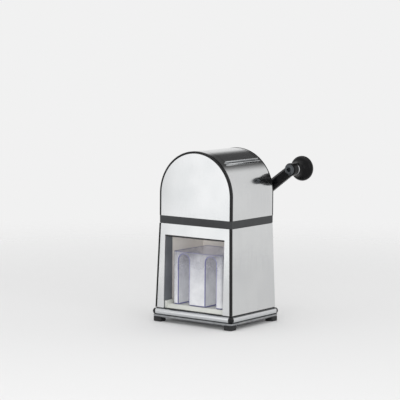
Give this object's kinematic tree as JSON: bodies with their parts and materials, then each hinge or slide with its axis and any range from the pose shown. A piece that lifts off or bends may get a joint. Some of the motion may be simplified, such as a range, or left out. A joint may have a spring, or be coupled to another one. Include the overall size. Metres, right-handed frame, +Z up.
{
  "type": "hand crank ice crusher",
  "caption": "Hand crank ice crusher with a chrome vaulted housing, a hinged filling lid, a black side crank and a clear sliding ice container.",
  "frame": {"origin": "centre of the bottom of the whole part's box, crank and knob included, on the plane that the feet stand on", "axes": "+Z up; -Y is the front, where the ice bay opens; +X is the side that the crank handle leans to; the crank shaft runs along Y and the crank turns behind the back"},
  "size_m": [0.1878, 0.1684, 0.2663],
  "materials": {
    "chrome_sheet": "polished to a mirror, faintly rippled",
    "brushed_sheet": "fine brushed steel under a clear polish",
    "chrome_trim": "bright plated, smooth",
    "pan_steel": "plain rolled steel, satin",
    "black_plastic": "moulded, semi-gloss",
    "band_plastic": "moulded, dark grey, semi-gloss",
    "gasket_rubber": "soft, matt",
    "foot_rubber": "moulded, matt",
    "screw_steel": "zinc plated",
    "ivory_plastic": "moulded, satin",
    "jamb_plastic": "moulded, fine grain",
    "liner_plastic": "moulded, warm grey, satin",
    "clear_plastic": "clear moulded plastic, frosted inside by ice",
    "crusher_steel": "cast and ground stainless steel",
    "bush_brass": "sintered bronze, satin",
    "hopper_plastic": "moulded, smooth"
  },
  "bodies": {
    "housing": {"base_pan": "pan_steel", "base_frame": "chrome_sheet", "base_corner_caps": "black_plastic", "feet": "foot_rubber", "foot_screws": "screw_steel", "seam_gasket": "gasket_rubber", "lower_shell": "brushed_sheet", "window_panel": "chrome_sheet", "corner_trims": "black_plastic", "window_jamb": "jamb_plastic", "bay_liner": "liner_plastic", "floor_tray": "ivory_plastic", "chassis": "band_plastic", "crusher_trough": "crusher_steel", "trough_screws": "screw_steel", "breaker_comb_left": "crusher_steel", "breaker_comb_right": "crusher_steel", "front_bush": "bush_brass", "rear_bush": "bush_brass", "front_rim": "black_plastic", "rear_rim": "black_plastic", "upper_front_panel": "chrome_sheet", "upper_back_panel": "chrome_sheet", "vault_cover": "brushed_sheet", "hopper": "hopper_plastic", "hinge_pin": "screw_steel", "escutcheon": "black_plastic", "plate_screws": "screw_steel"},
    "crank": {"crank_arm": "black_plastic", "rotor_shaft": "crusher_steel", "crusher_rotor": "crusher_steel", "drive_pin": "screw_steel", "hub_nut": "chrome_trim", "knob_spindle": "chrome_trim", "knob_ferrule": "chrome_trim"},
    "knob": {"knob_grip": "black_plastic"},
    "lid": {"lid": "brushed_sheet", "lid_lip": "chrome_trim"},
    "container": {"ice_container": "clear_plastic"}
  },
  "joints": [
    {"name": "crank_turn", "type": "hinge", "parent": "housing", "child": "crank", "pos_m": [-0.01818, 0.03993, 0.1683], "axis": [0, 1, 0], "continuous": true},
    {"name": "knob_spin", "type": "hinge", "parent": "crank", "child": "knob", "pos_m": [0.07454, 0.06993, 0.23616], "axis": [0, 1, 0], "continuous": true},
    {"name": "lid_hinge", "type": "hinge", "parent": "housing", "child": "lid", "pos_m": [-0.06779, -0.01558, 0.24583], "axis": [0, -1, 0], "range_deg": [0, 105]},
    {"name": "container_slide", "type": "slide", "parent": "housing", "child": "container", "axis": [0, -1, 0], "range_m": [0, 0.11]}
  ]
}
